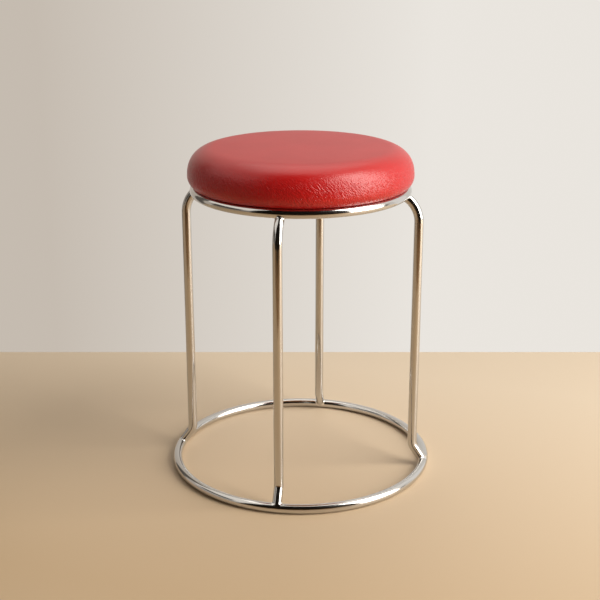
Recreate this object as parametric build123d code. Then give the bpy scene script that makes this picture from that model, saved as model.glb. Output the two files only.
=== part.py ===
from build123d import *
import os
from math import acos, asin, atan2, cos, degrees, hypot, sqrt, tan

# Round upholstered stool on a welded frame of bent steel tube. Millimetres, +Z up.
# The floor is z = 0, the stool's axis is the Z axis, and the legs stand on the X and Y axes.

# Frame tube
TUBE_DIAMETER = 12.7
TUBE_WALL = 1.2

# Rings, measured to the centreline of their tube
SEAT_RING_RADIUS = 142.0
SEAT_RING_CREST = 398.4

# Legs: how far the bend at each end carries the tube sideways, the bend's radius on the centreline, the
# straight run between the bend and the ring, and how far the top passes below the seat ring's centreline
LEG_TOP_OFFSET = 17.5
LEG_TOP_BEND = 40.0
LEG_TOP_RUN = 2.0
LEG_TOP_DROP = 6.5
LEG_FOOT_OFFSET = 16.5
LEG_FOOT_BEND = 16.0
LEG_FOOT_RUN = 24.2
LEG_EAR_TRIM = 2.0
LEG_ANGLES = {"right": 0, "back": 90, "left": 180, "front": 270}

# Seat lugs, flat tabs welded inside the seat ring between the legs
LUG_ANGLES = (45, 135, 225, 315)
LUG_REACH = 22.0
LUG_WIDTH = 22.0
LUG_THICKNESS = 2.5
LUG_ROOT_TRIM = 2.5

# Seat cushion, outside the cover
SEAT_OVERHANG = 8.5
SEAT_HEIGHT = 52.7
CROWN_RADIUS = 3000.0
SIDE_HEIGHT = 7.0
TUCK_RISE = 12.2
TUCK_IN = 7.0
COVER_THICKNESS = 1.1
COVER_HEM = 40.0
FOAM_CLEARANCE = 0.1
FOAM_LIP_RISE = 3.0

# Seat board
BOARD_THICKNESS = 10.0
BOARD_EDGE_ROUND = 2.0

# Bolts through the lugs into tee nuts in the board
BOLT_DIAMETER = 6.0
BOLT_TIP_GAP = 2.8
BOLT_HEAD_DIAMETER = 12.0
BOLT_HEAD_HEIGHT = 3.6
BOLT_HEAD_ROUND = 2.4
RECESS_SPAN = 6.0
RECESS_WIDTH = 1.4
RECESS_DEPTH = 1.8
THREAD_CLEARANCE = 0.1
HOLE_CLEARANCE = 0.3
WASHER_DIAMETER = 16.0
WASHER_THICKNESS = 1.2
TEE_FLANGE_DIAMETER = 19.0
TEE_FLANGE_THICKNESS = 1.6
TEE_BARREL_WALL = 1.0
TEE_FOOT_GAP = 1.0
TEE_PRONGS = 4
TEE_PRONG_WIDTH = 3.0
TEE_PRONG_THICKNESS = 1.2
TEE_PRONG_LENGTH = 5.0

# Staples through the cover's hem into the board
STAPLES_PER_SIDE = 5
STAPLE_INSET = 6.0
STAPLE_WIDTH = 10.0
STAPLE_LEG = 7.0
STAPLE_WIRE_WIDTH = 1.2
STAPLE_WIRE_THICKNESS = 0.6

# Heights and radii that follow from the sizes above
tube_radius = TUBE_DIAMETER / 2
bore_radius = tube_radius - TUBE_WALL
leg_radius = SEAT_RING_RADIUS + LEG_TOP_OFFSET
floor_ring_radius = leg_radius + LEG_FOOT_OFFSET
floor_ring_z = tube_radius
seat_ring_z = SEAT_RING_CREST - tube_radius
seat_radius = SEAT_RING_RADIUS + SEAT_OVERHANG
seat_top = SEAT_RING_CREST + SEAT_HEIGHT
widest_z = SEAT_RING_CREST + TUCK_RISE
shoulder_z = widest_z + SIDE_HEIGHT
crown_z = seat_top - CROWN_RADIUS
crown_drop = shoulder_z - crown_z
shoulder_radius = (CROWN_RADIUS**2 - seat_radius**2 - crown_drop**2) / (2 * (CROWN_RADIUS - seat_radius))
tuck_radius = (TUCK_IN**2 + TUCK_RISE**2) / (2 * TUCK_IN)
underside_radius = seat_radius - TUCK_IN
hem_radius = underside_radius - COVER_HEM
board_z = SEAT_RING_CREST + COVER_THICKNESS
board_top = board_z + BOARD_THICKNESS
bolt_circle_radius = SEAT_RING_RADIUS - LUG_REACH
bolt_hole_radius = BOLT_DIAMETER / 2 + HOLE_CLEARANCE
lug_z = SEAT_RING_CREST - LUG_THICKNESS
bolt_seat_z = lug_z - WASHER_THICKNESS
bolt_length = board_top - BOLT_TIP_GAP - bolt_seat_z
tee_length = BOARD_THICKNESS - TEE_FOOT_GAP
tee_bore_radius = BOLT_DIAMETER / 2 + THREAD_CLEARANCE
tee_barrel_radius = tee_bore_radius + TEE_BARREL_WALL
staple_radius = hem_radius + STAPLE_INSET


def ring_tube(radius, height):
    """A ring of tube with its centreline at the given radius and height."""
    return Pos(0, 0, height) * (Torus(radius, tube_radius) - Torus(radius, bore_radius))


def ring_body(radius, height):
    """The space that a ring fills, bore included, which shapes whatever is welded to it."""
    return Pos(0, 0, height) * Torus(radius, tube_radius)


def bend_turn(offset, bend, run):
    """Angle in radians through which a bend turns, so that it and a straight run reach the offset."""
    return acos((bend - offset) / hypot(bend, run)) - atan2(run, bend)


def leg_path():
    """Centreline of the leg on +X, from under the seat ring to just short of the floor ring's centreline."""
    top_turn = bend_turn(LEG_TOP_OFFSET, LEG_TOP_BEND, LEG_TOP_RUN)
    foot_turn = bend_turn(LEG_FOOT_OFFSET, LEG_FOOT_BEND, LEG_FOOT_RUN)
    under_ring = Vector(SEAT_RING_RADIUS, 0, seat_ring_z - LEG_TOP_DROP)
    top_corner = Vector(leg_radius, 0, under_ring.Z - LEG_TOP_OFFSET / tan(top_turn))
    foot_corner = Vector(leg_radius, 0, floor_ring_z + LEG_FOOT_OFFSET / tan(foot_turn))
    foot = Vector(floor_ring_radius, 0, floor_ring_z)
    inwards = (under_ring - top_corner).normalized()
    top_end = under_ring + inwards * (LEG_TOP_DROP * cos(top_turn) - LEG_EAR_TRIM)
    foot_end = foot + (foot_corner - foot).normalized() * LEG_EAR_TRIM
    return FilletPolyline(top_end, top_corner, foot_corner, foot_end, radius=[LEG_TOP_BEND, LEG_FOOT_BEND])


def leg():
    """The leg on +X: a tube bent in at the top and out at the foot, both ends coped to the rings."""
    path = leg_path()
    start = Plane(origin=path @ 0, z_dir=path % 0)
    tube = sweep(start * Circle(tube_radius), path) - sweep(start * Circle(bore_radius), path)
    tube -= ring_body(SEAT_RING_RADIUS, seat_ring_z)
    tube -= ring_body(floor_ring_radius, floor_ring_z)
    return tube


def seat_lug():
    """The lug on +X: a flat tab with a round end about its bolt hole, coped to the seat ring."""
    root = SEAT_RING_RADIUS - LUG_ROOT_TRIM
    length = root - bolt_circle_radius
    outline = Pos((root + bolt_circle_radius) / 2, 0) * Rectangle(length, LUG_WIDTH)
    outline += Pos(bolt_circle_radius, 0) * Circle(LUG_WIDTH / 2)
    outline -= Pos(bolt_circle_radius, 0) * Circle(bolt_hole_radius)
    return Pos(0, 0, lug_z) * extrude(outline, LUG_THICKNESS) - ring_body(SEAT_RING_RADIUS, seat_ring_z)


def cushion_body(inset):
    """The cushion's form turned about its axis, moved inwards by inset on every side.

    From the top: a shallow crown, a round shoulder, an upright side, and a tuck down to a flat underside.
    """
    shoulder_x = seat_radius - shoulder_radius
    tuck_x = seat_radius - tuck_radius
    side_x = seat_radius - inset
    crown_arc = CROWN_RADIUS - inset
    shoulder_arc = shoulder_radius - inset
    tuck_arc = tuck_radius - inset
    bottom_z = SEAT_RING_CREST + inset
    bottom_x = tuck_x + sqrt(tuck_arc**2 - (widest_z - bottom_z) ** 2)

    axis_top = (0, seat_top - inset)
    to_shoulder = Vector(shoulder_x, crown_drop).normalized()
    shoulder_start = Vector(0, crown_z) + to_shoulder * crown_arc
    side_top = (side_x, shoulder_z)
    side_foot = (side_x, widest_z)
    bottom = (bottom_x, bottom_z)
    axis_bottom = (0, bottom_z)

    crown = RadiusArc(axis_top, shoulder_start, crown_arc)
    shoulder = RadiusArc(shoulder_start, side_top, shoulder_arc)
    side = Line(side_top, side_foot)
    tuck = RadiusArc(side_foot, bottom, tuck_arc)
    base = Polyline(bottom, axis_bottom, axis_top)
    profile = Plane.XZ * make_face(Curve() + [crown, shoulder, side, tuck, base])
    return revolve(profile, Axis.Z)


def disc(radius, bottom, height):
    """An upright cylinder on the stool's axis, standing on the given height."""
    return Pos(0, 0, bottom) * Cylinder(radius, height, align=(Align.CENTER, Align.CENTER, Align.MIN))


def at_bolts(shape):
    """One copy of a shape made on the Z axis at each bolt, turned to face the stool's axis."""
    return [Rot(0, 0, angle) * Pos(bolt_circle_radius, 0, 0) * shape for angle in LUG_ANGLES]


def tee_nut():
    """A tee nut on the Z axis: a flange flush with the board's top, a barrel, and prongs in the board."""
    nut = disc(TEE_FLANGE_DIAMETER / 2, board_top - TEE_FLANGE_THICKNESS, TEE_FLANGE_THICKNESS)
    nut += disc(tee_barrel_radius, board_top - tee_length, tee_length)
    prong_x = TEE_FLANGE_DIAMETER / 2 - TEE_PRONG_THICKNESS
    prong_height = TEE_FLANGE_THICKNESS + TEE_PRONG_LENGTH
    prong = Pos(prong_x, 0, board_top) * Box(
        TEE_PRONG_THICKNESS, TEE_PRONG_WIDTH, prong_height, align=(Align.CENTER, Align.CENTER, Align.MAX)
    )
    for index in range(TEE_PRONGS):
        nut += Rot(0, 0, 360 * index / TEE_PRONGS) * prong
    return nut - disc(tee_bore_radius, board_top - tee_length, tee_length)


def bolt():
    """A pan-head bolt on the Z axis, pointing up, with a cross recess in its head."""
    head_z = bolt_seat_z - BOLT_HEAD_HEIGHT
    head = disc(BOLT_HEAD_DIAMETER / 2, head_z, BOLT_HEAD_HEIGHT)
    head = fillet(head.edges().sort_by(Axis.Z)[0], BOLT_HEAD_ROUND)
    for turn in (0, 90):
        slot = Box(RECESS_SPAN, RECESS_WIDTH, RECESS_DEPTH, align=(Align.CENTER, Align.CENTER, Align.MIN))
        head -= Pos(0, 0, head_z) * Rot(0, 0, turn) * slot
    return head + disc(BOLT_DIAMETER / 2, bolt_seat_z, bolt_length)


def washer():
    """A plain washer on the Z axis, between the bolt's head and the lug."""
    ring = disc(WASHER_DIAMETER / 2, bolt_seat_z, WASHER_THICKNESS)
    return ring - disc(bolt_hole_radius, bolt_seat_z, WASHER_THICKNESS)


def staple():
    """The staple on +X: a crown against the hem's underside and two legs driven up into the board."""
    crown_z = SEAT_RING_CREST - STAPLE_WIRE_THICKNESS
    upright = (Align.CENTER, Align.CENTER, Align.MIN)
    wire = Pos(staple_radius, 0, crown_z) * Box(
        STAPLE_WIRE_WIDTH, STAPLE_WIDTH, STAPLE_WIRE_THICKNESS, align=upright
    )
    leg_y = (STAPLE_WIDTH - STAPLE_WIRE_THICKNESS) / 2
    for side in (-leg_y, leg_y):
        wire += Pos(staple_radius, side, crown_z) * Box(
            STAPLE_WIRE_WIDTH, STAPLE_WIRE_THICKNESS, STAPLE_LEG, align=upright
        )
    return wire


def staples():
    """Staples spread evenly along the hem between each pair of lugs."""
    kept_clear = degrees(asin((LUG_WIDTH / 2 + STAPLE_WIDTH) / staple_radius))
    step = (90 - 2 * kept_clear) / (STAPLES_PER_SIDE - 1)
    placed = []
    for lug_angle in LUG_ANGLES:
        for index in range(STAPLES_PER_SIDE):
            placed.append(Rot(0, 0, lug_angle + kept_clear + index * step) * staple())
    return placed


def seat_board(fasteners):
    """Plywood disc with a rounded lower edge, bored and slotted for what is driven into it."""
    board = disc(underside_radius, board_z, BOARD_THICKNESS)
    board = fillet(board.edges().sort_by(Axis.Z)[0], BOARD_EDGE_ROUND)
    for bore in at_bolts(disc(tee_barrel_radius, board_z, BOARD_THICKNESS)):
        board -= bore
    return board - fasteners


def seat_cover(fasteners):
    """Leatherette skin of the cushion, turned under the board in a flat hem."""
    cover = cushion_body(0) - cushion_body(COVER_THICKNESS)
    cover -= disc(hem_radius, SEAT_RING_CREST, COVER_THICKNESS)
    for hole in at_bolts(disc(tee_barrel_radius, SEAT_RING_CREST, COVER_THICKNESS)):
        cover -= hole
    return cover - fasteners


def seat_foam():
    """Foam that fills the cover over the board and laps down round the board's edge."""
    foam = cushion_body(COVER_THICKNESS + FOAM_CLEARANCE)
    foam -= disc(underside_radius, SEAT_RING_CREST, board_top - SEAT_RING_CREST)
    return foam - disc(seat_radius, SEAT_RING_CREST, COVER_THICKNESS + FOAM_LIP_RISE)


def build():
    """Every piece of the stool by its node's name."""
    nuts = at_bolts(tee_nut())
    driven = staples()
    pieces = {
        "floor_ring": ring_tube(floor_ring_radius, floor_ring_z),
        "seat_ring": ring_tube(SEAT_RING_RADIUS, seat_ring_z),
        "seat_board": seat_board(nuts + driven),
        "seat_foam": seat_foam(),
        "seat_cover": seat_cover(driven),
        "tee_nuts": Compound(nuts),
        "seat_bolts": Compound(at_bolts(bolt())),
        "bolt_washers": Compound(at_bolts(washer())),
        "cover_staples": Compound(driven),
    }
    for side, angle in LEG_ANGLES.items():
        pieces["leg_" + side] = Rot(0, 0, angle) * leg()
    for number, angle in enumerate(LUG_ANGLES, start=1):
        pieces["seat_lug_" + str(number)] = Rot(0, 0, angle) * seat_lug()
    return pieces


os.makedirs("parts", exist_ok=True)
for name, piece in build().items():
    export_step(piece, os.path.join("parts", name + ".step"))
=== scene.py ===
"""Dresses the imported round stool: chrome, welds, a red leatherette cushion and the stage it stands on."""

from math import atan2, cos, degrees, hypot, pi, radians, sin, sqrt, tau

import bpy
from mathutils import Matrix, Vector, noise


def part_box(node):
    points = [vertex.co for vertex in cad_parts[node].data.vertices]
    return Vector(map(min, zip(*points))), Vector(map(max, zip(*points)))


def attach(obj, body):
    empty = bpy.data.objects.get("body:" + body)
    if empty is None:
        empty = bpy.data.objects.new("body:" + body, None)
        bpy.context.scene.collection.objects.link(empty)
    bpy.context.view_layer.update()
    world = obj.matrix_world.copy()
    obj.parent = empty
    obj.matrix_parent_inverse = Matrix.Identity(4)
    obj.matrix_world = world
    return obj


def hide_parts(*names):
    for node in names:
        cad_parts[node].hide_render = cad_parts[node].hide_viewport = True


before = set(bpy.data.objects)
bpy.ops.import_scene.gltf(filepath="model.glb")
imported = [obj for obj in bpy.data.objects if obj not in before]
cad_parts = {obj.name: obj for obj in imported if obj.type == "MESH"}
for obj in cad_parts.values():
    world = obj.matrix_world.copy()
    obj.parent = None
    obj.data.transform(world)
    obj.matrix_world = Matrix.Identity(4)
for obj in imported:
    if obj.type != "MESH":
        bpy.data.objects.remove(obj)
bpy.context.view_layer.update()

bl_info = {
    "name": "Round stool dressing",
    "version": (1, 0, 0),
    "blender": (4, 5, 0),
    "location": "3D View > Sidebar > Stool",
    "description": "Finishes the packed round stool with chrome, welds, a cushion and a plain stage",
    "category": "Object",
}

ROOT = "root"
MM = 0.001

# The frame's own sizes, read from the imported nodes
FLOOR_RING_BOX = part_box("floor_ring")
SEAT_RING_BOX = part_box("seat_ring")
COVER_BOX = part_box("seat_cover")
BOARD_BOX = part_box("seat_board")
TUBE_RADIUS = (FLOOR_RING_BOX[1].z - FLOOR_RING_BOX[0].z) / 2

LEG_ANGLES = {"right": 0, "back": 90, "left": 180, "front": 270}
LUG_ANGLES = (45, 135, 225, 315)
LUG_SPACING = 90


class StoolFrameSettings(bpy.types.PropertyGroup):
    """Sizes and finish of the chromed frame."""

    top_lean: bpy.props.FloatProperty(
        name="Top lean", description="Angle of a leg's top end from upright",
        default=radians(52.96), subtype="ANGLE")
    foot_lean: bpy.props.FloatProperty(
        name="Foot lean", description="Angle of a leg's foot from upright",
        default=radians(34.46), subtype="ANGLE")
    top_drop: bpy.props.FloatProperty(
        name="Top drop", description="How far a leg's centreline passes below the seat ring's",
        default=6.5 * MM, unit="LENGTH")
    weld_width: bpy.props.FloatProperty(
        name="Weld width", description="How far a weld runs onto each tube",
        default=1.9 * MM, unit="LENGTH")
    chrome_colour: bpy.props.FloatVectorProperty(
        name="Chrome", description="Colour of the plated tube",
        default=(0.62, 0.605, 0.585), size=3, subtype="COLOR")
    zinc_colour: bpy.props.FloatVectorProperty(
        name="Zinc", description="Colour of the plated fasteners",
        default=(0.62, 0.61, 0.58), size=3, subtype="COLOR")


class StoolCushionSettings(bpy.types.PropertyGroup):
    """Sizes and finish of the cushion."""

    widest_rise: bpy.props.FloatProperty(
        name="Widest height", description="Height of the widest line above the cushion's underside",
        default=12.2 * MM, unit="LENGTH")
    tuck_in: bpy.props.FloatProperty(
        name="Tuck in", description="How far the side draws in below its widest line",
        default=7.0 * MM, unit="LENGTH")
    crown: bpy.props.FloatProperty(
        name="Crown", description="Rise of the top's slow crown",
        default=2.3 * MM, unit="LENGTH")
    flat_radius: bpy.props.FloatProperty(
        name="Flat radius", description="Radius at which the top starts to turn down into the shoulder",
        default=116.0 * MM, unit="LENGTH")
    hem_radius: bpy.props.FloatProperty(
        name="Hem radius", description="Radius of the cover's cut edge under the seat",
        default=103.5 * MM, unit="LENGTH")
    cover_thickness: bpy.props.FloatProperty(
        name="Cover thickness", description="Thickness of the leatherette",
        default=1.1 * MM, unit="LENGTH")
    slack: bpy.props.FloatProperty(
        name="Slack", description="How far the crown lies below its height before the foam fills it",
        default=0.4 * MM, unit="LENGTH")
    proud: bpy.props.FloatProperty(
        name="Proud", description="How far the filled side stands out past its plain form",
        default=0.7 * MM, unit="LENGTH")
    cover_colour: bpy.props.FloatVectorProperty(
        name="Leatherette", description="Colour of the cover",
        default=(0.475, 0.004, 0.003), size=3, subtype="COLOR")
    foam_colour: bpy.props.FloatVectorProperty(
        name="Foam", description="Colour of the foam pad",
        default=(0.80, 0.70, 0.46), size=3, subtype="COLOR")
    wood_colour: bpy.props.FloatVectorProperty(
        name="Plywood", description="Colour of the seat board",
        default=(0.50, 0.34, 0.19), size=3, subtype="COLOR")


class StoolStageSettings(bpy.types.PropertyGroup):
    """Floor, wall, lamps and camera."""

    # The floor's colour is painted light and shade: its shaded colour in front, its lit colour by the wall
    shaded_floor_colour: bpy.props.FloatVectorProperty(
        name="Floor", description="Colour of the plain floor in front",
        default=(0.59, 0.42, 0.25), size=3, subtype="COLOR")
    lit_floor_colour: bpy.props.FloatVectorProperty(
        name="Back floor", description="Colour of the plain floor by the wall",
        default=(0.755, 0.61, 0.445), size=3, subtype="COLOR")
    # The wall's glow is painted light: its plain colour away from the window, its lit colour towards it
    wall_colour: bpy.props.FloatVectorProperty(
        name="Wall", description="Colour of the plain backdrop away from the window",
        default=(0.56, 0.50, 0.435), size=3, subtype="COLOR")
    lit_wall_colour: bpy.props.FloatVectorProperty(
        name="Lit wall", description="Colour of the plain backdrop towards the window",
        default=(0.82, 0.785, 0.735), size=3, subtype="COLOR")
    side_colour: bpy.props.FloatVectorProperty(
        name="Side", description="Colour of the room away from the window, as gloss and chrome show it",
        default=(0.21, 0.185, 0.16), size=3, subtype="COLOR")
    ceiling_colour: bpy.props.FloatVectorProperty(
        name="Ceiling", description="Colour of the room overhead, as gloss and chrome show it",
        default=(1.0, 0.95, 0.88), size=3, subtype="COLOR")
    wall_distance: bpy.props.FloatProperty(
        name="Wall distance", description="From the stool's axis back to the wall",
        default=0.418, unit="LENGTH")
    window_power: bpy.props.FloatProperty(
        name="Window power", description="Power of the softbox on the right", default=126.0, unit="POWER")
    panel_power: bpy.props.FloatProperty(
        name="Panel power", description="Power of the soft panel overhead", default=13.0, unit="POWER")
    ambient: bpy.props.FloatProperty(
        name="Ambient", description="Strength of the even light from all round", default=0.195)
    camera_azimuth: bpy.props.FloatProperty(
        name="Azimuth", description="Camera's angle to the right of the front",
        default=radians(10.36), subtype="ANGLE")
    camera_elevation: bpy.props.FloatProperty(
        name="Elevation", description="Camera's angle above the horizon",
        default=radians(18.15), subtype="ANGLE")
    camera_distance: bpy.props.FloatProperty(
        name="Distance", description="From the camera to the point it aims at", default=1.628, unit="LENGTH")
    aim_height: bpy.props.FloatProperty(
        name="Aim height", description="Height of the point the camera aims at",
        default=0.2345, unit="LENGTH")
    aim_shift: bpy.props.FloatProperty(
        name="Aim shift", description="How far left of the axis the camera aims",
        default=0.97 * MM, unit="LENGTH")
    lens: bpy.props.FloatProperty(
        name="Lens", description="Focal length on a 36 mm sensor", default=70.74, unit="CAMERA")


# Node helpers

def new_node(tree, kind, **inputs):
    """Adds a node and sets the inputs named, with spaces written as underscores."""
    node = tree.nodes.new(kind)
    for name, value in inputs.items():
        node.inputs[name.replace("_", " ")].default_value = value
    return node


def math_node(tree, operation, first, second):
    """A Math node on two values, each a socket or a number."""
    node = tree.nodes.new("ShaderNodeMath")
    node.operation = operation
    for index, value in enumerate((first, second)):
        if isinstance(value, bpy.types.NodeSocket):
            tree.links.new(value, node.inputs[index])
        else:
            node.inputs[index].default_value = value
    return node.outputs[0]


def weighted(tree, first, first_share, second, second_share):
    """The sum of two value sockets, each times its share."""
    return math_node(tree, "ADD", math_node(tree, "MULTIPLY", first, first_share),
                     math_node(tree, "MULTIPLY", second, second_share))


def spread(tree, value, low, high, start=0.0, end=1.0):
    """Spreads a value that runs from start to end between low and high."""
    node = new_node(tree, "ShaderNodeMapRange", From_Min=start, From_Max=end, To_Min=low, To_Max=high)
    tree.links.new(value, node.inputs["Value"])
    return node.outputs["Result"]


def vector_node(tree, operation, first, second=None):
    """A Vector Math node on a vector socket and, where there is one, a second socket or constant."""
    node = tree.nodes.new("ShaderNodeVectorMath")
    node.operation = operation
    tree.links.new(first, node.inputs[0])
    if isinstance(second, bpy.types.NodeSocket):
        tree.links.new(second, node.inputs[1])
    elif second is not None:
        node.inputs[1].default_value = second
    return node.outputs["Value" if operation == "LENGTH" else "Vector"]


def noise_node(tree, vector, scale, detail=2.0, distortion=0.0):
    """A Noise Texture's 0 to 1 value along a vector socket."""
    node = new_node(tree, "ShaderNodeTexNoise", Scale=scale, Detail=detail, Distortion=distortion)
    tree.links.new(vector, node.inputs["Vector"])
    return node.outputs[0]


def two_tone(tree, value, dark, light):
    """A colour that goes from dark to light with a 0 to 1 value."""
    ramp = tree.nodes.new("ShaderNodeValToRGB")
    ramp.color_ramp.elements[0].color = (*dark, 1)
    ramp.color_ramp.elements[1].color = (*light, 1)
    tree.links.new(value, ramp.inputs["Fac"])
    return ramp.outputs["Color"]


def bump(tree, shader, height, depth):
    """Gives the shader a bump, with the depth in metres of a height of 1."""
    node = new_node(tree, "ShaderNodeBump", Strength=1.0, Distance=depth)
    tree.links.new(height, node.inputs["Height"])
    tree.links.new(node.outputs["Normal"], shader.inputs["Normal"])


def principled(name, **inputs):
    """A new material, its node tree and its Principled shader, with the constant inputs set."""
    material = bpy.data.materials.new(name)
    material.use_nodes = True
    tree = material.node_tree
    shader = tree.nodes["Principled BSDF"]
    for key, value in inputs.items():
        shader.inputs[key.replace("_", " ")].default_value = value
    return material, tree, shader


def object_coordinates(tree):
    """The object's own coordinates, in metres."""
    return tree.nodes.new("ShaderNodeTexCoord").outputs["Object"]


def shade(value, colour):
    """A colour made lighter or darker."""
    return tuple(min(1.0, value * channel) for channel in colour)


# Finishes

def chrome_finish(colour):
    """Polished chrome plate with a trace of haze and tube waviness."""
    material, tree, shader = principled("chrome_tube", Metallic=1.0, Base_Color=(*colour, 1))
    place = object_coordinates(tree)
    haze = noise_node(tree, place, scale=38.0, detail=4.0, distortion=0.4)
    tree.links.new(spread(tree, haze, low=0.08, high=0.16), shader.inputs["Roughness"])
    bump(tree, shader, noise_node(tree, place, scale=120.0), depth=0.012 * MM)
    return material


def zinc_finish(colour):
    """Bright zinc plate, cloudy and lightly brushed."""
    material, tree, shader = principled("zinc_steel", Metallic=1.0)
    place = object_coordinates(tree)
    cloud = noise_node(tree, place, scale=420.0, detail=4.0, distortion=0.8)
    tone = two_tone(tree, cloud, shade(0.72, colour), shade(1.12, colour))
    tree.links.new(tone, shader.inputs["Base Color"])
    tree.links.new(spread(tree, cloud, low=0.24, high=0.46), shader.inputs["Roughness"])
    bump(tree, shader, noise_node(tree, place, scale=2600.0, detail=3.0), depth=0.02 * MM)
    return material


def plywood_finish(colour):
    """Rotary-cut veneer with long grain along X and dark pores."""
    material, tree, shader = principled("plywood", Specular_IOR_Level=0.3)
    place = object_coordinates(tree)
    long_grain = vector_node(tree, "MULTIPLY", place, (7, 60, 60))
    figure = noise_node(tree, long_grain, scale=1.0, detail=5.0, distortion=1.6)
    fine_grain = vector_node(tree, "MULTIPLY", place, (60, 1500, 900))
    pores = noise_node(tree, fine_grain, scale=1.0, distortion=0.2)
    value = spread(tree, weighted(tree, figure, 0.7, pores, 0.3), low=-0.6, high=1.6)
    tone = two_tone(tree, value, shade(0.62, colour), shade(1.3, colour))
    tree.links.new(tone, shader.inputs["Base Color"])
    tree.links.new(spread(tree, pores, low=0.75, high=0.5), shader.inputs["Roughness"])
    bump(tree, shader, pores, depth=0.08 * MM)
    return material


def foam_finish(colour):
    """Open-cell foam."""
    material, tree, shader = principled("foam", Specular_IOR_Level=0.15)
    place = object_coordinates(tree)
    cells = new_node(tree, "ShaderNodeTexVoronoi", Scale=900.0)
    tree.links.new(place, cells.inputs["Vector"])
    value = spread(tree, cells.outputs["Distance"], low=1.0, high=0.0)
    tree.links.new(two_tone(tree, value, shade(0.7, colour), colour), shader.inputs["Base Color"])
    cloud = noise_node(tree, place, scale=40.0)
    tree.links.new(spread(tree, cloud, low=0.85, high=1.0), shader.inputs["Roughness"])
    bump(tree, shader, cells.outputs["Distance"], depth=0.3 * MM)
    return material


# The leatherette, with reaches measured from the middle of the flat sheet
CRINKLES_ROUND = 44.0
CRINKLES_DOWN = 210.0
CRINKLE_TWIST = -4.0
CRINKLE_DEPTH = 0.75 * MM
CRINKLE_REACH = (0.142, 0.160)
CRINKLE_SHARE_ON_TOP = 0.06
PEBBLE_SHARE = 0.12
TOP_ROUGHNESS = 0.39
SIDE_ROUGHNESS = 0.31
SHOULDER_REACH = (0.116, 0.136)


def crinkles(tree, sheet):
    """Short slanting ridges down the side of the cushion, which die out on its top; from -0.5 to 0.5."""
    reach = vector_node(tree, "LENGTH", sheet)
    twist = tree.nodes.new("ShaderNodeVectorRotate")
    twist.rotation_type = "Z_AXIS"
    tree.links.new(vector_node(tree, "NORMALIZE", sheet), twist.inputs["Vector"])
    tree.links.new(math_node(tree, "MULTIPLY", reach, CRINKLE_TWIST), twist.inputs["Angle"])
    down = tree.nodes.new("ShaderNodeCombineXYZ")
    tree.links.new(math_node(tree, "MULTIPLY", reach, CRINKLES_DOWN), down.inputs["Z"])
    spot = vector_node(tree, "MULTIPLY", twist.outputs["Vector"], (CRINKLES_ROUND, CRINKLES_ROUND, 0))
    spot = vector_node(tree, "ADD", spot, down.outputs["Vector"])
    ridge = noise_node(tree, spot, scale=1.0, detail=0.5, distortion=1.6)
    ridge = math_node(tree, "SUBTRACT", ridge, 0.5)
    share = spread(tree, reach, CRINKLE_SHARE_ON_TOP, 1.0, *CRINKLE_REACH)
    return math_node(tree, "MULTIPLY", ridge, share)


def leatherette_finish(colour):
    """Semi-gloss vinyl with slanting crinkles over a fine pebble, laid out on its flat sheet; its colour
    carries painted shade in the crinkles.
    """
    material, tree, shader = principled("red_leatherette", IOR=1.55)
    attribute = tree.nodes.new("ShaderNodeAttribute")
    attribute.attribute_name = "sheet"
    sheet = attribute.outputs["Vector"]
    ridge = crinkles(tree, sheet)
    pebble = noise_node(tree, sheet, scale=900.0, distortion=0.3)
    cloud = noise_node(tree, sheet, scale=16.0, detail=3.0)
    height = weighted(tree, ridge, 1.0, pebble, PEBBLE_SHARE)
    # The tone is a random dye cloud and, for a share, the crinkles: painted light on their crests and
    # painted shade in their valleys
    tone = weighted(tree, cloud, 0.7, ridge, 0.3)
    dye_and_crinkle_shade = two_tone(tree, tone, shade(0.84, colour), shade(1.2, colour))
    tree.links.new(dye_and_crinkle_shade, shader.inputs["Base Color"])
    reach = vector_node(tree, "LENGTH", sheet)
    rough = spread(tree, reach, TOP_ROUGHNESS, SIDE_ROUGHNESS, *SHOULDER_REACH)
    rough = math_node(tree, "ADD", rough, spread(tree, tone, low=0.02, high=-0.02))
    tree.links.new(rough, shader.inputs["Roughness"])
    bump(tree, shader, height, CRINKLE_DEPTH)
    return material


# Mesh helpers

def new_piece(name, points, faces):
    """A mesh object in the scene, with smooth faces."""
    mesh = bpy.data.meshes.new(name)
    mesh.from_pydata(points, [], faces)
    mesh.validate()
    mesh.polygons.foreach_set("use_smooth", [True] * len(mesh.polygons))
    piece = bpy.data.objects.new(name, mesh)
    bpy.context.scene.collection.objects.link(piece)
    return piece


def circle(radius, height, turns):
    """Points round the Z axis."""
    angles = [tau * k / turns for k in range(turns)]
    return [Vector((radius * cos(angle), radius * sin(angle), height)) for angle in angles]


def clamp(value):
    """The value, held between 0 and 1."""
    return min(1.0, max(0.0, value))


def wear(piece, material):
    """Puts one material all over an object."""
    piece.data.materials.clear()
    piece.data.materials.append(material)


def evaluated_mesh(piece):
    """A copy of the mesh as its modifiers leave it."""
    graph = bpy.context.evaluated_depsgraph_get()
    return bpy.data.meshes.new_from_object(piece.evaluated_get(graph))


# Welds

WELD_STEPS = 72
WELD_ARC = 6
WELD_PROUD = 0.09 * MM
WELD_SINK = 0.06 * MM
WELD_ROOT = 0.8 * MM
FLUSH_WIDENING = 1.3
FLUSH_LOWERING = 0.6
EAR_TRIM = 2.0 * MM
SEAM_HALVINGS = 40


def ring_gap(point, ring_radius, ring_height):
    """Distance from a point to a ring tube's surface, and the surface's outward direction there."""
    reach = hypot(point.x, point.y)
    out = Vector((point.x / reach, point.y / reach, 0))
    spoke = out * (reach - ring_radius) + Vector((0, 0, point.z - ring_height))
    return spoke.length - TUBE_RADIUS, spoke.normalized()


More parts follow.
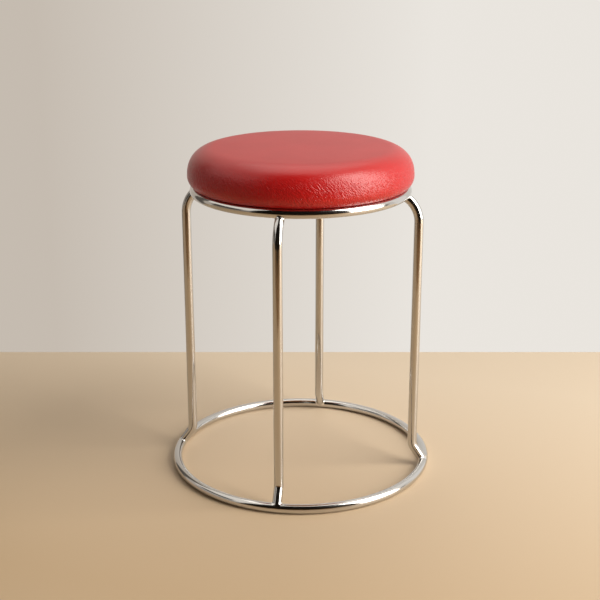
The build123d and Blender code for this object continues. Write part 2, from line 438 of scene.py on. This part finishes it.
def seam_point(centre, along, side, ring_radius, ring_height):
    """Where one line down a leg's surface meets the ring."""
    near, far = EAR_TRIM, 2 * TUBE_RADIUS
    if ring_gap(centre + along * near + side * TUBE_RADIUS, ring_radius, ring_height)[0] >= 0:
        return centre + along * near + side * TUBE_RADIUS
    for _ in range(SEAM_HALVINGS):
        middle = (near + far) / 2
        gap = ring_gap(centre + along * middle + side * TUBE_RADIUS, ring_radius, ring_height)[0]
        near, far = (middle, far) if gap < 0 else (near, middle)
    return centre + along * far + side * TUBE_RADIUS


def weld_mesh(ring_radius, ring_height, along, below, width):
    """Points and faces of the hollow fillet where a leg on +X meets a ring.

    along runs from the ring into the leg, whose centreline passes that far below the ring's.
    Where the two tubes' surfaces run flush, the fillet is wider and lower.
    """
    across = Vector((0, 1, 0))
    upright = along.cross(across)
    centre = Vector((ring_radius, 0, ring_height)) + upright * (upright.z * -below)
    angles = [tau * i / WELD_STEPS for i in range(WELD_STEPS)]
    sides = [across * cos(angle) + upright * sin(angle) for angle in angles]
    seam = [seam_point(centre, along, side, ring_radius, ring_height) for side in sides]
    points = []
    for i, (side, corner) in enumerate(zip(sides, seam)):
        run = (seam[(i + 1) % WELD_STEPS] - seam[i - 1]).normalized()
        ring_out = ring_gap(corner, ring_radius, ring_height)[1]
        flush = max(0.0, side.dot(ring_out))
        spread_out = width * (1 + FLUSH_WIDENING * flush)
        on_leg = corner + side.cross(run).normalized() * spread_out
        offset = on_leg - centre
        spoke = offset - along * offset.dot(along)
        on_leg = centre + along * offset.dot(along) + spoke.normalized() * TUBE_RADIUS
        on_ring = corner + run.cross(ring_out).normalized() * spread_out
        gap, ring_end = ring_gap(on_ring, ring_radius, ring_height)
        on_ring -= ring_end * gap
        leg_end = spoke.normalized()
        points.append(on_leg - leg_end * WELD_ROOT)
        for k in range(WELD_ARC + 1):
            u = k / WELD_ARC
            lift = WELD_PROUD * (1 - FLUSH_LOWERING * flush) * sin(pi * u) - WELD_SINK * cos(pi * u) ** 2
            normal = (leg_end * (1 - u) + ring_end * u).normalized()
            spot = on_leg * (1 - u) ** 2 + corner * 2 * u * (1 - u) + on_ring * u ** 2
            clear = ring_gap(spot, ring_radius, ring_height)[0]
            offset = spot - centre
            if offset.dot(along) > 0:
                clear = min(clear, (offset - along * offset.dot(along)).length - TUBE_RADIUS)
            points.append(spot + normal * max(lift - clear, min(lift, 0.0)))
        points.append(on_ring - ring_end * WELD_ROOT)
    row = WELD_ARC + 3
    faces = []
    for i in range(WELD_STEPS):
        for k in range(row):
            a, b = i * row, ((i + 1) % WELD_STEPS) * row
            faces.append((a + k, a + (k + 1) % row, b + (k + 1) % row, b + k))
    return points, faces


class STOOL_OT_frame(bpy.types.Operator):
    """Gives the rings, legs and lugs their chrome"""

    bl_idname = "stool.frame"
    bl_label = "Chromed frame"

    def execute(self, context):
        chrome = chrome_finish(context.scene.stool_frame.chrome_colour)
        names = ["floor_ring", "seat_ring"] + [f"leg_{side}" for side in LEG_ANGLES]
        names += [f"seat_lug_{i + 1}" for i in range(len(LUG_ANGLES))]
        for name in names:
            wear(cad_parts[name], chrome)
        return {"FINISHED"}


class STOOL_OT_welds(bpy.types.Operator):
    """Lays the welds where the legs meet the rings"""

    bl_idname = "stool.welds"
    bl_label = "Welds"

    def execute(self, context):
        settings = context.scene.stool_frame
        chrome = bpy.data.materials["chrome_tube"]
        lean_in = Vector((sin(settings.top_lean), 0, -cos(settings.top_lean)))
        lean_out = Vector((-sin(settings.foot_lean), 0, cos(settings.foot_lean)))
        for end, box, along, below in (("top", SEAT_RING_BOX, lean_in, settings.top_drop),
                                       ("foot", FLOOR_RING_BOX, lean_out, 0.0)):
            points, faces = weld_mesh(box[1].x - TUBE_RADIUS, (box[0].z + box[1].z) / 2, along, below,
                                      settings.weld_width)
            for side, angle in LEG_ANGLES.items():
                turn = Matrix.Rotation(radians(angle), 3, "Z")
                weld = new_piece(f"weld_{side}_{end}", [turn @ point for point in points], faces)
                wear(weld, chrome)
                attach(weld, ROOT)
        return {"FINISHED"}


# Cushion

GRID = 24
GRID_RADIUS = 78.0 * MM
STEPS = {"top": 18, "tuck": 4, "hem": 6}
SHOULDER_POWER = 2.6
FINE_STEPS = 400
CLOTH_FRAMES = 20
CLOTH_PRESSURE = 1.0
CLOTH_STIFFNESS = 80.0
CLOTH_QUALITY = 8
CLOTH_AIR_DAMPING = 10
CLOTH_EVENING = 12
HELD_RISE = 2 * MM
HELD_FADE = 10 * MM
FINER_LEVELS = 2
HEM_RISE = 0.2 * MM
PLEAT_HEIGHT = 0.9 * MM
PLEAT_FADE = 12 * MM
PLEAT_SIZE = 0.65
PLEAT_SIZE_SPREAD = 0.5
PLEAT_NOISE_SCALE = 14
PLEAT_NOISE_LEVEL = 9.0
PLEATS_PER_GAP = 2
STAPLE_START = 11.06
STAPLE_STEP = 16.97
STAPLE_GAPS = 4
FOAM_GAP = 1.0 * MM
FOAM_TURNS = 96
FOAM_STEPS = 24
FOAM_DRAW_IN = 1.0 * MM
FOAM_DROP = 4 * MM
FOAM_LIP_GAP = 0.3 * MM
FOAM_LIP_WIDTH = 1.2 * MM


def cushion_outline(settings):
    """Radius and height down the cover, from the edge of its middle grid to the hem's cut edge."""
    radius, top = COVER_BOX[1].x, COVER_BOX[1].z
    underside = COVER_BOX[0].z
    widest = underside + settings.widest_rise
    fine = []
    for i in range(FINE_STEPS + 1):
        reach = GRID_RADIUS + (radius - GRID_RADIUS) * sin(pi / 2 * i / FINE_STEPS)
        fine.append((reach, crown_height(settings, reach, radius, top, widest)))
    outline = evenly(fine, STEPS["top"])
    bend = (settings.tuck_in ** 2 + settings.widest_rise ** 2) / (2 * settings.tuck_in)
    for i in range(1, STEPS["tuck"] + 1):
        drop = settings.widest_rise * sin(pi / 2 * i / STEPS["tuck"])
        outline.append((radius - bend + sqrt(bend ** 2 - drop ** 2), widest - drop))
    foot = radius - settings.tuck_in
    for i in range(1, STEPS["hem"] + 1):
        outline.append((foot + (settings.hem_radius - foot) * i / STEPS["hem"], underside))
    return outline


def evenly(line, steps):
    """Points an even length apart along a fine line."""
    lengths = [0.0]
    for a, b in zip(line, line[1:]):
        lengths.append(lengths[-1] + hypot(b[0] - a[0], b[1] - a[1]))
    points, k = [], 0
    for i in range(steps + 1):
        length = lengths[-1] * i / steps
        while k < len(line) - 2 and lengths[k + 1] < length:
            k += 1
        share = (length - lengths[k]) / (lengths[k + 1] - lengths[k])
        points.append(tuple(a + (b - a) * share for a, b in zip(line[k], line[k + 1])))
    return points


def crown_height(settings, reach, radius, top, widest):
    """Height of the cushion's top at a distance from its axis: nearly flat, then a round shoulder."""
    share = clamp((reach - settings.flat_radius) / (radius - settings.flat_radius))
    shoulder = (top - widest - settings.crown) * (1 - share ** 2) ** (1 / SHOULDER_POWER)
    return widest + shoulder + settings.crown * (1 - (reach / radius) ** 2)


def cover_mesh(settings):
    """Points, sheet coordinates and faces of the cover: a square grid in the middle and rings round it."""
    radius, top = COVER_BOX[1].x, COVER_BOX[1].z
    widest = COVER_BOX[0].z + settings.widest_rise
    lines = [sqrt(2) * sin(pi / 2 * (i / GRID - 0.5)) for i in range(GRID + 1)]
    points, sheet, faces = [], [], []
    for v in lines:
        for u in lines:
            x, y = u * sqrt(1 - v * v / 2) * GRID_RADIUS, v * sqrt(1 - u * u / 2) * GRID_RADIUS
            points.append(Vector((x, y, crown_height(settings, hypot(x, y), radius, top, widest))))
            sheet.append(Vector((x, y, 0)))
    row = GRID + 1
    for j in range(GRID):
        for i in range(GRID):
            a = j * row + i
            faces.append((a, a + 1, a + row + 1, a + row))
    edge = list(range(GRID)) + [GRID + j * row for j in range(GRID)]
    edge += [GRID * row + i for i in range(GRID, 0, -1)] + [j * row for j in range(GRID, 0, -1)]
    directions = [Vector((points[k].x, points[k].y, 0)).normalized() for k in edge]
    outline = cushion_outline(settings)
    length = GRID_RADIUS
    for (reach, height), (last_reach, last_height) in zip(outline[1:], outline):
        length += hypot(reach - last_reach, height - last_height)
        ring = list(range(len(points), len(points) + len(edge)))
        points += [out * reach + Vector((0, 0, height)) for out in directions]
        sheet += [out * length for out in directions]
        for k in range(len(edge)):
            n = (k + 1) % len(edge)
            faces.append((edge[k], ring[k], ring[n], edge[n]))
        edge = ring
    return points, sheet, faces


def inflate(cover, settings):
    """Fills the crown out with a short cloth simulation: the hem is held and pressure lifts the rest."""
    mesh = cover.data
    underside, top, radius = COVER_BOX[0].z, COVER_BOX[1].z, COVER_BOX[1].x
    widest = underside + settings.widest_rise
    held = cover.vertex_groups.new(name="held")
    for vertex in mesh.vertices:
        share = clamp((vertex.co.z - underside - HELD_RISE) / HELD_FADE)
        held.add([vertex.index], 1.0 - share, "REPLACE")
        vertex.co.z -= settings.slack * max(0.0, (vertex.co.z - widest) / (top - widest))
    start = [vertex.co.copy() for vertex in mesh.vertices]
    cloth = cover.modifiers.new("fill", "CLOTH")
    cloth.settings.quality = CLOTH_QUALITY
    cloth.settings.tension_stiffness = CLOTH_STIFFNESS
    cloth.settings.compression_stiffness = CLOTH_STIFFNESS
    cloth.settings.shear_stiffness = CLOTH_STIFFNESS / 4
    cloth.settings.air_damping = CLOTH_AIR_DAMPING
    cloth.settings.use_pressure = True
    cloth.settings.uniform_pressure_force = CLOTH_PRESSURE
    cloth.settings.effector_weights.gravity = 0
    cloth.settings.vertex_group_mass = "held"
    cloth.collision_settings.use_collision = False
    cloth.point_cache.frame_start = 1
    cloth.point_cache.frame_end = CLOTH_FRAMES
    for number in range(1, CLOTH_FRAMES + 1):
        bpy.context.scene.frame_set(number)
    filled = evaluated_mesh(cover)
    moves = [vertex.co - point for vertex, point in zip(filled.vertices, start)]
    cover.modifiers.clear()
    cover.vertex_groups.clear()
    bpy.data.meshes.remove(filled)
    bpy.context.scene.frame_set(1)
    moves = [move * min(1.0, settings.slack / max(move.length, 1e-9)) for move in moves]
    moves = evened(mesh, moves, CLOTH_EVENING)
    for vertex, point, move in zip(mesh.vertices, start, moves):
        vertex.co = point + move
    widen(mesh, settings, radius)
    rise = (top - underside) / (max(vertex.co.z for vertex in mesh.vertices) - underside)
    for vertex in mesh.vertices:
        vertex.co.z = underside + (vertex.co.z - underside) * rise


def widen(mesh, settings, radius):
    """Brings the cover to its full radius above the tuck, and less and less of it towards the hem."""
    underside = COVER_BOX[0].z
    grow = radius / max(hypot(vertex.co.x, vertex.co.y) for vertex in mesh.vertices)
    for vertex in mesh.vertices:
        share = clamp((vertex.co.z - underside) / settings.widest_rise)
        vertex.co.xy *= 1 + (grow - 1) * share


def evened(mesh, moves, rounds):
    """Averages each point's move with its neighbours', some rounds over."""
    for _ in range(rounds):
        total = [move.copy() for move in moves]
        count = [1] * len(moves)
        for edge in mesh.edges:
            a, b = edge.vertices
            total[a] += moves[b]
            total[b] += moves[a]
            count[a] += 1
            count[b] += 1
        moves = [move / number for move, number in zip(total, count)]
    return moves


def pleat(mesh):
    """Gathers the hem into pleats inside the seat ring, between the staples and clear of the lugs."""
    underside = COVER_BOX[0].z
    outer = SEAT_RING_BOX[1].x - 2 * TUBE_RADIUS
    for vertex in mesh.vertices:
        reach = hypot(vertex.co.x, vertex.co.y)
        if vertex.co.z > underside + HEM_RISE or reach > outer:
            continue
        out = vertex.co.xy / reach
        past_lug = (degrees(atan2(out.y, out.x)) - LUG_ANGLES[0]) % LUG_SPACING
        gap = (past_lug - STAPLE_START) / STAPLE_STEP
        if not 0 < gap < STAPLE_GAPS:
            continue
        fade = min(1.0, (outer - reach) / PLEAT_FADE)
        fold = sin(pi * gap * PLEATS_PER_GAP) ** 2
        spot = Vector((out.x * PLEAT_NOISE_SCALE, out.y * PLEAT_NOISE_SCALE, PLEAT_NOISE_LEVEL))
        size = PLEAT_SIZE + PLEAT_SIZE_SPREAD * noise.noise(spot)
        vertex.co.z -= PLEAT_HEIGHT * fold * size * fade


class STOOL_OT_cover(bpy.types.Operator):
    """Draws the leatherette cover over the foam and tucks it under the board"""

    bl_idname = "stool.cover"
    bl_label = "Leatherette cover"

    def execute(self, context):
        settings = context.scene.stool_cushion
        points, sheet, faces = cover_mesh(settings)
        cover = new_piece("cushion_cover", points, faces)
        layer = cover.data.attributes.new("sheet", "FLOAT_VECTOR", "POINT")
        layer.data.foreach_set("vector", [value for place in sheet for value in place])
        inflate(cover, settings)
        finer = cover.modifiers.new("finer", "SUBSURF")
        finer.levels = finer.render_levels = FINER_LEVELS
        smooth = evaluated_mesh(cover)
        cover.modifiers.clear()
        cover.data = smooth
        widen(smooth, settings, COVER_BOX[1].x + settings.proud)
        pleat(smooth)
        skin = cover.modifiers.new("skin", "SOLIDIFY")
        skin.thickness = settings.cover_thickness
        skin.offset = -1
        wear(cover, leatherette_finish(settings.cover_colour))
        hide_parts("seat_cover")
        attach(cover, ROOT)
        return {"FINISHED"}


class STOOL_OT_foam(bpy.types.Operator):
    """Makes the foam pad inside the cover"""

    bl_idname = "stool.foam"
    bl_label = "Foam pad"

    def execute(self, context):
        settings = context.scene.stool_cushion
        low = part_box("seat_foam")[0]
        inset = settings.cover_thickness + FOAM_GAP
        radius, top, turns = COVER_BOX[1].x - inset, COVER_BOX[1].z - inset, FOAM_TURNS
        board_top = BOARD_BOX[1].z
        widest = COVER_BOX[0].z + settings.widest_rise
        outline = []
        for i in range(1, FOAM_STEPS + 1):
            share = sqrt(sin(pi / 2 * i / FOAM_STEPS))
            outline.append((radius * share, crown_height(settings, radius * share, radius, top, widest)))
        lip = BOARD_BOX[1].x + FOAM_LIP_GAP
        outline += [(radius - FOAM_DRAW_IN, widest - FOAM_DROP), (lip + FOAM_LIP_WIDTH, low.z),
                    (lip, low.z), (lip, board_top)]
        points = [Vector((0, 0, top))]
        faces = []
        for reach, height in outline:
            points += circle(reach, height, turns)
        points.append(Vector((0, 0, board_top)))
        for k in range(turns):
            n = (k + 1) % turns
            faces.append((0, 1 + k, 1 + n))
            for i in range(len(outline) - 1):
                a, b = 1 + i * turns, 1 + (i + 1) * turns
                faces.append((a + k, b + k, b + n, a + n))
            last = 1 + (len(outline) - 1) * turns
            faces.append((last + k, len(points) - 1, last + n))
        foam = new_piece("foam_pad", points, faces)
        wear(foam, foam_finish(settings.foam_colour))
        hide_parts("seat_foam")
        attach(foam, ROOT)
        return {"FINISHED"}


class STOOL_OT_board(bpy.types.Operator):
    """Gives the seat board its plywood and the fasteners their zinc"""

    bl_idname = "stool.board"
    bl_label = "Board and fasteners"

    def execute(self, context):
        wear(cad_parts["seat_board"], plywood_finish(context.scene.stool_cushion.wood_colour))
        zinc = zinc_finish(context.scene.stool_frame.zinc_colour)
        for name in ("tee_nuts", "seat_bolts", "bolt_washers", "cover_staples"):
            wear(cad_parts[name], zinc)
        return {"FINISHED"}


# Stage

FLOOR_RADIUS = 8.0
FLOOR_TURNS = 96
# The floor's painted light: from its shaded colour in front to its lit colour by the wall, a little towards
# the window
FLOOR_SLANT = (0.15, 1.0)
FLOOR_SHADE = (-0.4, 0.35)
WALL_SIZE = (7.0, 0.85)
# The wall's painted light, from its plain colour away from the window to its lit colour towards it
WALL_SLANT = (1.0, 0.0)
WALL_SHADE = (-0.5, 0.14)
# A dark card with a short roof on the camera's side, which only gloss and chrome show: a painted dark
# reflection of the room in front, brown low down as a painted reflection of shaded floor
FLAG_SIZE = (1.9, 2.6)
FLAG_DISTANCE = 0.85
FLAG_ROOF = 0.5
FLAG_SHADE = (0.09, 0.15)
FLAG_COLOUR = (0.02, 0.017, 0.014)
FLAG_SHADED_FLOOR_COLOUR = (0.45, 0.29, 0.16)
# More cards that only gloss and chrome show: two dark ones paint shade into reflections and the glow card
# paints a bright one.
# Their columns: the middle of the lower edge and the facing, as right, back and up, then the size and the
# colour
GLOSS_CARDS = {
    "back_shade_card": ((-0.86, 0.40, 0.0), (0, -1, 0), (0.56, 0.95), (0.12, 0.105, 0.09)),
    "left_shade_card": ((-1.14, -0.29, 0.42), (1, 0, 0), (0.82, 0.45), (0.09, 0.08, 0.07)),
    "glow_card": ((1.05, 0.40, 0.0), (0, -1, 0), (0.95, 1.2), (1.0, 0.97, 0.93)),
}
# The sines of the angles above the horizon between which the room goes from its side to its ceiling colour
ROOM_SHADE = (0.02, 0.5)
AMBIENT_COLOUR = (1.0, 0.97, 0.93)
LAMP_COLOUR = (1.0, 0.97, 0.92)
WINDOW_PLACE = (2.2, -0.42, 1.7)
WINDOW_AIM = (0.0, 0.0, 0.9)
WINDOW_SIZE = (1.9, 3.4)
PANEL_PLACE = (-0.2, 1.13, 2.6)
PANEL_AIM = (-0.2, 1.13, 0.0)
PANEL_SIZE = (1.7, 2.5)
SENSOR_WIDTH = 36.0


def backwards(azimuth):
    """The level direction in which a camera at that azimuth looks."""
    return Vector((-sin(azimuth), cos(azimuth), 0))


def upright_card(name, foot, facing, size, roof=0.0):
    """A vertical rectangle above the middle of its lower edge, with a level roof if asked."""
    across = facing.cross(Vector((0, 0, 1))).normalized() * -size[0] / 2
    rise = Vector((0, 0, size[1]))
    points = [foot - across, foot + across, foot + across + rise, foot - across + rise]
    faces = [(0, 1, 2, 3)]
    if roof:
        points += [points[2] + facing * roof, points[3] + facing * roof]
        faces.append((3, 2, 4, 5))
    return new_piece(name, points, faces)


def seen_directly(tree):
    """1 for rays that show a surface as a picture: camera, mirror and glass rays."""
    path = tree.nodes.new("ShaderNodeLightPath")
    either = math_node(tree, "MAXIMUM", path.outputs["Is Camera Ray"], path.outputs["Is Glossy Ray"])
    return math_node(tree, "MAXIMUM", either, path.outputs["Is Transmission Ray"])


def mix_shaders(tree, share, first, second):
    """A mix of two shader sockets."""
    node = tree.nodes.new("ShaderNodeMixShader")
    tree.links.new(share, node.inputs["Fac"])
    tree.links.new(first, node.inputs[1])
    tree.links.new(second, node.inputs[2])
    return node.outputs["Shader"]


def plain_material(name, kind, colour):
    """A material with one plain shader, its node tree and that shader's socket."""
    material = bpy.data.materials.new(name)
    material.use_nodes = True
    tree = material.node_tree
    tree.nodes.remove(tree.nodes["Principled BSDF"])
    node = new_node(tree, kind, Color=(*colour, 1))
    tree.links.new(node.outputs[0], tree.nodes["Material Output"].inputs["Surface"])
    return material, tree, node.outputs[0]


def across_the_room(tree, slant, shade_range, colour, far_colour):
    """A colour that goes from one to the other along X and Y, by each axis's share in the slant: painted
    light and shade on the floor and the wall.
    """
    along = tree.nodes.new("ShaderNodeSeparateXYZ")
    tree.links.new(object_coordinates(tree), along.inputs["Vector"])
    place = weighted(tree, along.outputs["X"], slant[0], along.outputs["Y"], slant[1])
    return two_tone(tree, spread(tree, place, 0.0, 1.0, *shade_range), colour, far_colour)


def floor_finish(colour, lit_back_colour):
    """A plain floor with painted light and shade: darker in front and to the left, paler towards the wall
    and the window.
    """
    material, tree, shader = principled("floor", Roughness=0.5, Specular_IOR_Level=0.4)
    tone = across_the_room(tree, FLOOR_SLANT, FLOOR_SHADE, colour, lit_back_colour)
    tree.links.new(tone, shader.inputs["Base Color"])
    return material


def flag_finish():
    """A dark card, brown near the floor: painted dark reflections, the brown standing in for a shaded floor.
    """
    material, tree, shade_socket = plain_material("dark_flag", "ShaderNodeBsdfDiffuse", FLAG_COLOUR)
    rise = tree.nodes.new("ShaderNodeSeparateXYZ")
    tree.links.new(object_coordinates(tree), rise.inputs["Vector"])
    height = spread(tree, rise.outputs["Z"], 0.0, 1.0, *FLAG_SHADE)
    tree.links.new(two_tone(tree, height, FLAG_SHADED_FLOOR_COLOUR, FLAG_COLOUR), shade_socket.node.inputs["Color"])
    return material


def one_sided_wall(colour, lit_colour):
    """A wall that shows from the front, lets light through and isn't there from behind; its glow is painted
    light, brighter towards the window.
    """
    material, tree, glow = plain_material("wall", "ShaderNodeEmission", colour)
    tone = across_the_room(tree, WALL_SLANT, WALL_SHADE, colour, lit_colour)
    tree.links.new(tone, glow.node.inputs["Color"])
    clear = tree.nodes.new("ShaderNodeBsdfTransparent").outputs[0]
    side = tree.nodes.new("ShaderNodeNewGeometry").outputs["Backfacing"]
    front = math_node(tree, "SUBTRACT", seen_directly(tree), side)
    shown = mix_shaders(tree, math_node(tree, "MAXIMUM", front, 0.0), clear, glow)
    tree.links.new(shown, tree.nodes["Material Output"].inputs["Surface"])
    return material


def room_light(backdrop, colour, ceiling, ambient):
    """The world: a plain backdrop to the camera, a room in mirrors, and an even dim light on the object."""
    world = bpy.data.worlds.new("room")
    bpy.context.scene.world = world
    world.use_nodes = True
    tree = world.node_tree
    seen = tree.nodes["Background"]
    seen.inputs["Strength"].default_value = 1.0
    rise = tree.nodes.new("ShaderNodeSeparateXYZ")
    tree.links.new(tree.nodes.new("ShaderNodeTexCoord").outputs["Generated"], rise.inputs["Vector"])
    height = spread(tree, rise.outputs["Z"], 0.0, 1.0, *ROOM_SHADE)
    tree.links.new(two_tone(tree, height, colour, ceiling), seen.inputs["Color"])
    dim = new_node(tree, "ShaderNodeBackground", Color=(*AMBIENT_COLOUR, 1), Strength=ambient)
    plain = new_node(tree, "ShaderNodeBackground", Color=(*backdrop, 1), Strength=1.0)
    shown = mix_shaders(tree, seen_directly(tree), dim.outputs[0], seen.outputs[0])
    from_camera = tree.nodes.new("ShaderNodeLightPath").outputs["Is Camera Ray"]
    shown = mix_shaders(tree, from_camera, shown, plain.outputs[0])
    tree.links.new(shown, tree.nodes["World Output"].inputs["Surface"])
    world.cycles.sampling_method = "NONE"


def softbox(name, place, aim, size, power):
    """A rectangular area lamp that faces a point."""
    light = bpy.data.lights.new(name, "AREA")
    light.shape = "RECTANGLE"
    light.size, light.size_y = size
    light.energy = power
    light.color = LAMP_COLOUR
    lamp = bpy.data.objects.new(name, light)
    lamp.location = place
    lamp.rotation_euler = (Vector(aim) - Vector(place)).to_track_quat("-Z", "Y").to_euler()
    bpy.context.scene.collection.objects.link(lamp)


class STOOL_OT_stage(bpy.types.Operator):
    """Sets up the floor, the wall, the light and the camera"""

    bl_idname = "stool.stage"
    bl_label = "Stage"

    def execute(self, context):
        settings = context.scene.stool_stage
        scene = context.scene
        scene.view_settings.view_transform = "Standard"
        back = backwards(settings.camera_azimuth)

        floor = new_piece("floor", circle(FLOOR_RADIUS, 0, FLOOR_TURNS), [tuple(range(FLOOR_TURNS))])
        wear(floor, floor_finish(settings.shaded_floor_colour, settings.lit_floor_colour))
        wall = upright_card("wall", back * settings.wall_distance, -back, WALL_SIZE)
        wear(wall, one_sided_wall(settings.wall_colour, settings.lit_wall_colour))
        flag = upright_card("dark_flag", -back * FLAG_DISTANCE, back, FLAG_SIZE, FLAG_ROOF)
        wear(flag, flag_finish())
        right = back.cross(Vector((0, 0, 1)))
        room = Matrix((right, back, (0, 0, 1))).transposed()
        cards = [flag]
        # Each card glows with a painted reflection: dark for the shade cards, bright for the glow card
        for name, (place, facing, size, colour) in GLOSS_CARDS.items():
            card = upright_card(name, room @ Vector(place), room @ Vector(facing), size)
            wear(card, plain_material(name, "ShaderNodeEmission", colour)[0])
            cards.append(card)
        for card in cards:
            card.visible_camera = card.visible_diffuse = card.visible_shadow = False

        softbox("window", WINDOW_PLACE, WINDOW_AIM, WINDOW_SIZE, settings.window_power)
        softbox("panel", PANEL_PLACE, PANEL_AIM, PANEL_SIZE, settings.panel_power)
        room_light(settings.wall_colour, settings.side_colour, settings.ceiling_colour, settings.ambient)

        camera = bpy.data.objects.new("camera", bpy.data.cameras.new("camera"))
        camera.data.lens = settings.lens
        camera.data.sensor_width = SENSOR_WIDTH
        aim = Vector((0, 0, settings.aim_height)) - right * settings.aim_shift
        away = -back * cos(settings.camera_elevation) + Vector((0, 0, sin(settings.camera_elevation)))
        camera.location = aim + away * settings.camera_distance
        camera.rotation_euler = (-away).to_track_quat("-Z", "Y").to_euler()
        scene.collection.objects.link(camera)
        scene.camera = camera
        return {"FINISHED"}


class STOOL_PT_dressing(bpy.types.Panel):
    """Lists the stool's settings and steps"""

    bl_idname = "STOOL_PT_dressing"
    bl_label = "Round stool"
    bl_space_type = "VIEW_3D"
    bl_region_type = "UI"
    bl_category = "Stool"

    def draw(self, context):
        for step in STEPS_IN_ORDER:
            self.layout.operator(step.bl_idname)
        for owner, group in SETTINGS.items():
            box = self.layout.box()
            for name in group.__annotations__:
                box.prop(getattr(context.scene, owner), name)


SETTINGS = {
    "stool_frame": StoolFrameSettings,
    "stool_cushion": StoolCushionSettings,
    "stool_stage": StoolStageSettings,
}
STEPS_IN_ORDER = (STOOL_OT_frame, STOOL_OT_welds, STOOL_OT_cover,
                  STOOL_OT_foam, STOOL_OT_board, STOOL_OT_stage)


def register():
    for group in SETTINGS.values():
        bpy.utils.register_class(group)
    for owner, group in SETTINGS.items():
        setattr(bpy.types.Scene, owner, bpy.props.PointerProperty(type=group))
    for step in (*STEPS_IN_ORDER, STOOL_PT_dressing):
        bpy.utils.register_class(step)


def unregister():
    for step in (STOOL_PT_dressing, *reversed(STEPS_IN_ORDER)):
        bpy.utils.unregister_class(step)
    for owner, group in SETTINGS.items():
        delattr(bpy.types.Scene, owner)
        bpy.utils.unregister_class(group)


def main():
    register()
    bpy.ops.stool.frame()
    bpy.ops.stool.welds()
    bpy.ops.stool.cover()
    bpy.ops.stool.foam()
    bpy.ops.stool.board()
    bpy.ops.stool.stage()


if __name__ == "__main__":
    main()
